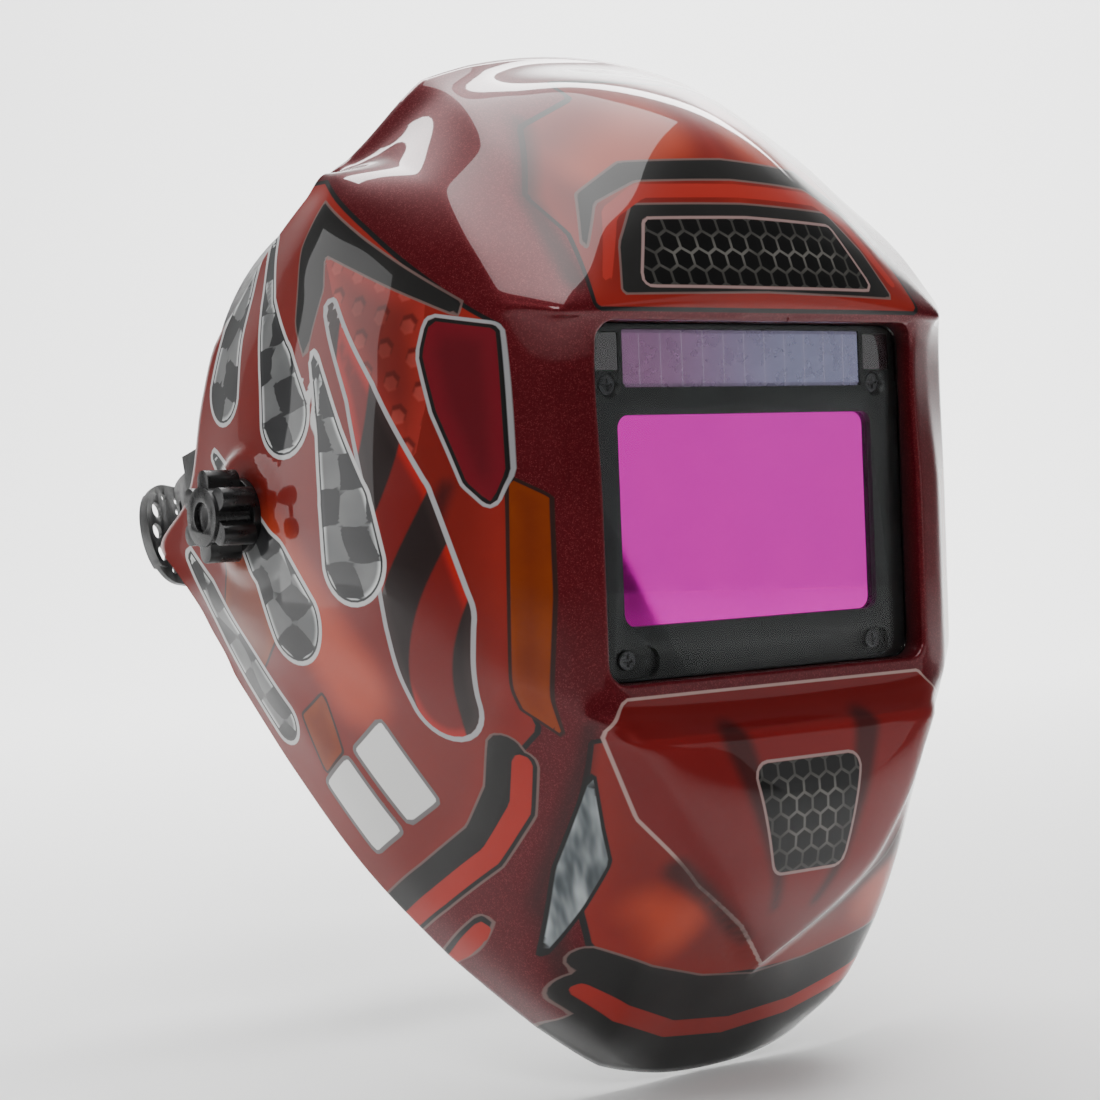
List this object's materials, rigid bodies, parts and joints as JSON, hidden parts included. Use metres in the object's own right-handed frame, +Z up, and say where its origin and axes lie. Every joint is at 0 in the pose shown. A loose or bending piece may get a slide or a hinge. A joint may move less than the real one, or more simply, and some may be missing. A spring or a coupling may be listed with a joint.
{
  "type": "welding helmet",
  "caption": "Auto-darkening welding helmet: a faceted face shell with a framed filter window, hinged on star knobs to a ratchet headgear with crown strap and sweatband.",
  "frame": {"origin": "middle of the pivot axis between the two tension knobs, at the centre of the head space", "axes": "+X towards the wearer's left along the pivot axis, -Y the way the wearer faces, +Z up with the visor plane vertical"},
  "size_m": [0.2594, 0.3145, 0.3235],
  "materials": {
    "shell_paint": "clear-coated metallic maroon with airbrushed panels",
    "cover_clear": "clear polycarbonate",
    "frame_black": "fine spark texture",
    "filter_magenta": "interference-coated magenta mirror",
    "lcd_stack": "dark green liquid crystal stack",
    "solar_cells": "violet-blue silicon cells under glass",
    "sensor_window": "infrared-pass plastic",
    "board_green": "solder mask with parts",
    "cell_steel": "nickel-plated",
    "cap_grey": "satin moulded",
    "screw_steel": "zinc plated",
    "knob_black": "satin moulded, worn edges",
    "nut_brass": "turned",
    "washer_grey": "matt friction ring",
    "button_red": "moulded",
    "strap_black": "flexible satin polypropylene",
    "pad_grey": "perforated foam-backed cloth"
  },
  "bodies": {
    "headgear": {"front_band": "strap_black", "sweatband": "pad_grey", "left_side_arm": "strap_black", "right_side_arm": "strap_black", "arm_rivets": "screw_steel", "left_pivot_bolt": "cap_grey", "right_pivot_bolt": "cap_grey", "left_friction_washer": "washer_grey", "right_friction_washer": "washer_grey", "left_tilt_stop": "cap_grey", "right_tilt_stop": "cap_grey", "back_plate": "strap_black", "back_pad": "pad_grey", "ratchet_housing": "knob_black", "ratchet_screws": "screw_steel"},
    "helmet_shell": {"shell": "shell_paint", "front_cover_lens": "cover_clear", "filter_front_housing": "frame_black", "filter_glass": "filter_magenta", "lcd_cell": "lcd_stack", "solar_panel": "solar_cells", "left_arc_sensor": "sensor_window", "right_arc_sensor": "sensor_window", "circuit_board": "board_green", "control_board": "board_green", "coin_cells": "cell_steel", "filter_rear_housing": "cap_grey", "inner_cover_lens": "cover_clear", "filter_screws": "screw_steel", "retaining_frame": "frame_black", "retainer_screws": "screw_steel"},
    "shade_dial": {"shade_knob": "knob_black"},
    "sensitivity_dial": {"sensitivity_knob": "knob_black"},
    "delay_dial": {"delay_knob": "knob_black"},
    "test_key": {"test_button": "button_red"},
    "mode_slider": {"mode_switch": "knob_black"},
    "left_cap": {"left_battery_cap": "cap_grey"},
    "right_cap": {"right_battery_cap": "cap_grey"},
    "left_tension": {"left_tension_knob": "knob_black", "left_knob_nut": "nut_brass"},
    "right_tension": {"right_tension_knob": "knob_black", "right_knob_nut": "nut_brass"},
    "left_strap": {"left_rear_band": "strap_black"},
    "right_strap": {"right_rear_band": "strap_black"},
    "ratchet": {"ratchet_knob": "knob_black", "ratchet_pinion": "cap_grey"},
    "crown": {"crown_strap_left": "strap_black", "crown_strap_right": "strap_black", "crown_pin": "cap_grey", "strap_rivets": "cap_grey"}
  },
  "joints": [
    {"name": "shell_flip", "type": "hinge", "parent": "headgear", "child": "helmet_shell", "pos_m": [0, 0, 0], "axis": [-1, 0, 0], "range_deg": [0, 60]},
    {"name": "left_tension_turn", "type": "hinge", "parent": "headgear", "child": "left_tension", "pos_m": [0.12, 0, 0], "axis": [1, 0, 0], "range_deg": [-180, 180]},
    {"name": "right_tension_turn", "type": "hinge", "parent": "headgear", "child": "right_tension", "pos_m": [-0.12, 0, 0], "axis": [-1, 0, 0], "range_deg": [-180, 180]},
    {"name": "ratchet_turn", "type": "hinge", "parent": "headgear", "child": "ratchet", "pos_m": [0, 0.16777, -0.01372], "axis": [0, 0.9744, -0.225], "range_deg": [-90, 90]},
    {"name": "left_strap_feed", "type": "hinge", "parent": "headgear", "child": "left_strap", "pos_m": [0, 0.06546, 0.0099], "axis": [0, 0.225, 0.9744], "range_deg": [-5.6, 5.6]},
    {"name": "right_strap_feed", "type": "hinge", "parent": "headgear", "child": "right_strap", "pos_m": [0, 0.06546, 0.0099], "axis": [0, 0.225, 0.9744], "range_deg": [-5.6, 5.6]},
    {"name": "crown_swing", "type": "hinge", "parent": "headgear", "child": "crown", "pos_m": [0, 0.03758, 0.0225], "axis": [1, 0, 0], "range_deg": [-10, 10]},
    {"name": "shade_turn", "type": "hinge", "parent": "helmet_shell", "child": "shade_dial", "pos_m": [-0.0426, -0.085, -0.0493], "axis": [0, 1, 0], "range_deg": [-135, 135]},
    {"name": "sensitivity_turn", "type": "hinge", "parent": "helmet_shell", "child": "sensitivity_dial", "pos_m": [-0.018, -0.085, -0.0493], "axis": [0, 1, 0], "range_deg": [-135, 135]},
    {"name": "delay_turn", "type": "hinge", "parent": "helmet_shell", "child": "delay_dial", "pos_m": [0.008, -0.085, -0.0493], "axis": [0, 1, 0], "range_deg": [-135, 135]},
    {"name": "test_press", "type": "slide", "parent": "helmet_shell", "child": "test_key", "axis": [0, -1, 0], "range_m": [0, 0.001], "stiffness_N_per_m": 400},
    {"name": "mode_slide", "type": "slide", "parent": "helmet_shell", "child": "mode_slider", "axis": [1, 0, 0], "range_m": [0, 0.004]},
    {"name": "left_cap_turn", "type": "hinge", "parent": "helmet_shell", "child": "left_cap", "pos_m": [0.04, -0.088, 0.0415], "axis": [0, 1, 0], "range_deg": [0, 45]},
    {"name": "right_cap_turn", "type": "hinge", "parent": "helmet_shell", "child": "right_cap", "pos_m": [-0.04, -0.088, 0.0415], "axis": [0, 1, 0], "range_deg": [0, 45]}
  ],
  "couplings": [
    {"joint": "left_strap_feed", "follows": "ratchet_turn", "ratio": 0.061077},
    {"joint": "right_strap_feed", "follows": "ratchet_turn", "ratio": -0.05988}
  ]
}
